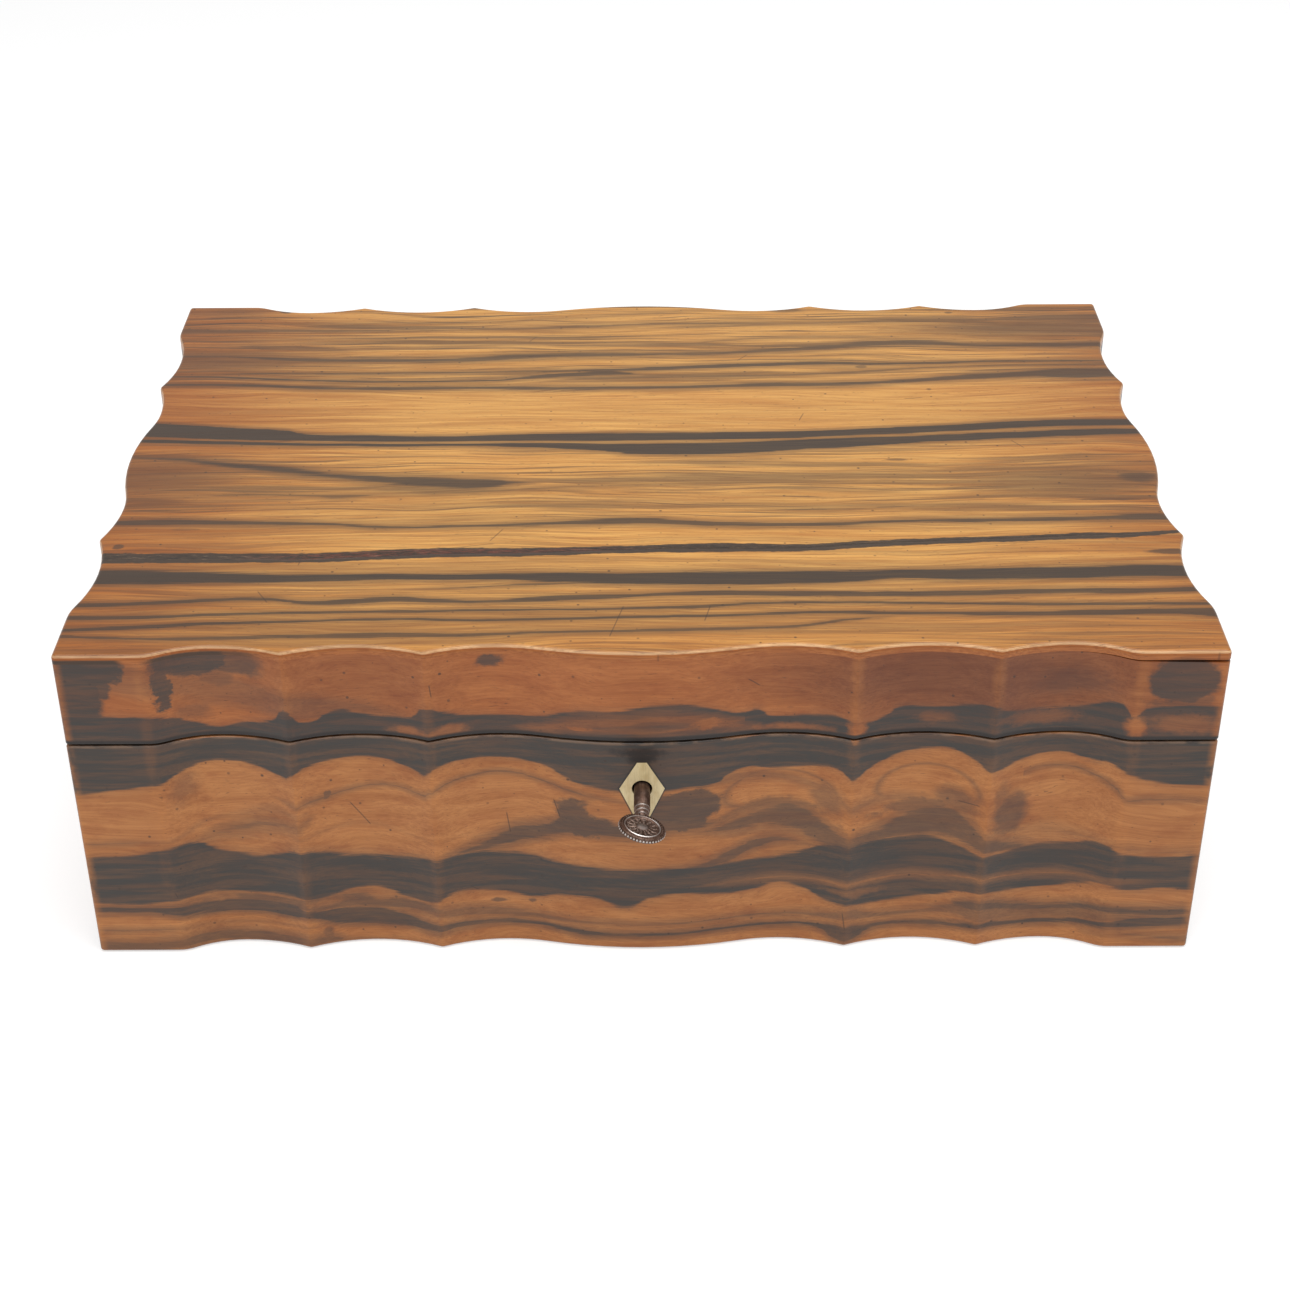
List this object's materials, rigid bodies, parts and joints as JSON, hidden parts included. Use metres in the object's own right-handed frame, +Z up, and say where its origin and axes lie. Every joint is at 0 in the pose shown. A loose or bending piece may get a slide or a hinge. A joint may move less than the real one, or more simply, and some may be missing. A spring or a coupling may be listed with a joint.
{
  "type": "antique work box",
  "caption": "Hinge-lidded sewing work box with carved lobed wooden sides, link-plate lock with key, and a lift-out tray with lidded compartments.",
  "frame": {"origin": "centre of the flat underside", "axes": "+X to the right along the front, -Y to the front with the key, +Z up"},
  "size_m": [0.33, 0.2647, 0.107],
  "materials": {
    "striped_wood": "polished, dark brown and orange stripes",
    "inner_wood": "plain satin",
    "bone": "polished bone",
    "key_steel": "worn steel with brown patina",
    "brass": "aged satin"
  },
  "bodies": {
    "base": {"base_front_wall": "striped_wood", "base_back_wall": "striped_wood", "base_left_wall": "striped_wood", "base_right_wall": "striped_wood", "base_board": "inner_wood", "tray_bearer_left": "inner_wood", "tray_bearer_right": "inner_wood", "left_hinge_base_leaf": "brass", "right_hinge_base_leaf": "brass", "left_hinge_pin": "brass", "right_hinge_pin": "brass", "base_hinge_screws": "brass", "lock_case": "brass", "lock_cap": "brass", "lock_stumps": "brass", "drill_pin": "key_steel", "bolt_spring": "key_steel", "lock_screws": "brass", "key_escutcheon": "bone"},
    "lid": {"lid_front_wall": "striped_wood", "lid_back_wall": "striped_wood", "lid_left_wall": "striped_wood", "lid_right_wall": "striped_wood", "lid_top_board": "striped_wood", "left_hinge_lid_leaf": "brass", "right_hinge_lid_leaf": "brass", "lid_hinge_screws": "brass", "link_plate": "brass", "link_plate_screws": "brass"},
    "bolt": {"lock_bolt": "brass"},
    "key": {"key": "key_steel"},
    "tray": {"tray_front_wall": "inner_wood", "tray_back_wall": "inner_wood", "tray_left_wall": "inner_wood", "tray_right_wall": "inner_wood", "tray_floor": "inner_wood", "tray_long_divider_front": "inner_wood", "tray_long_divider_back": "inner_wood", "tray_front_divider_left": "inner_wood", "tray_front_divider_right": "inner_wood", "tray_middle_divider_left": "inner_wood", "tray_middle_divider_right": "inner_wood", "tray_back_divider_left": "inner_wood", "tray_back_divider_right": "inner_wood"},
    "front_left_lid": {"front_left_compartment_lid": "striped_wood", "front_left_lid_knob": "bone"},
    "front_right_lid": {"front_right_compartment_lid": "striped_wood", "front_right_lid_knob": "bone"},
    "back_left_lid": {"back_left_compartment_lid": "striped_wood", "back_left_lid_knob": "bone"},
    "back_right_lid": {"back_right_compartment_lid": "striped_wood", "back_right_lid_knob": "bone"}
  },
  "joints": [
    {"name": "lid_hinge", "type": "hinge", "parent": "base", "child": "lid", "pos_m": [0, 0.1182, 0.076], "axis": [-1, 0, 0], "range_deg": [0, 100]},
    {"name": "key_turn", "type": "hinge", "parent": "base", "child": "key", "pos_m": [0, -0.117, 0.06], "axis": [0, 1, 0], "range_deg": [0, 152]},
    {"name": "bolt_slide", "type": "slide", "parent": "base", "child": "bolt", "axis": [1, 0, 0], "range_m": [0, 0.005]},
    {"name": "tray_lift", "type": "slide", "parent": "base", "child": "tray", "axis": [0, 0, 1], "range_m": [0, 0.02]},
    {"name": "front_left_lid_lift", "type": "slide", "parent": "tray", "child": "front_left_lid", "axis": [0, 0, 1], "range_m": [0, 0.018]},
    {"name": "front_right_lid_lift", "type": "slide", "parent": "tray", "child": "front_right_lid", "axis": [0, 0, 1], "range_m": [0, 0.018]},
    {"name": "back_left_lid_lift", "type": "slide", "parent": "tray", "child": "back_left_lid", "axis": [0, 0, 1], "range_m": [0, 0.018]},
    {"name": "back_right_lid_lift", "type": "slide", "parent": "tray", "child": "back_right_lid", "axis": [0, 0, 1], "range_m": [0, 0.018]}
  ],
  "couplings": [
    {"joint": "key_turn", "follows": "bolt_slide", "rad_per_m": 530.5}
  ]
}
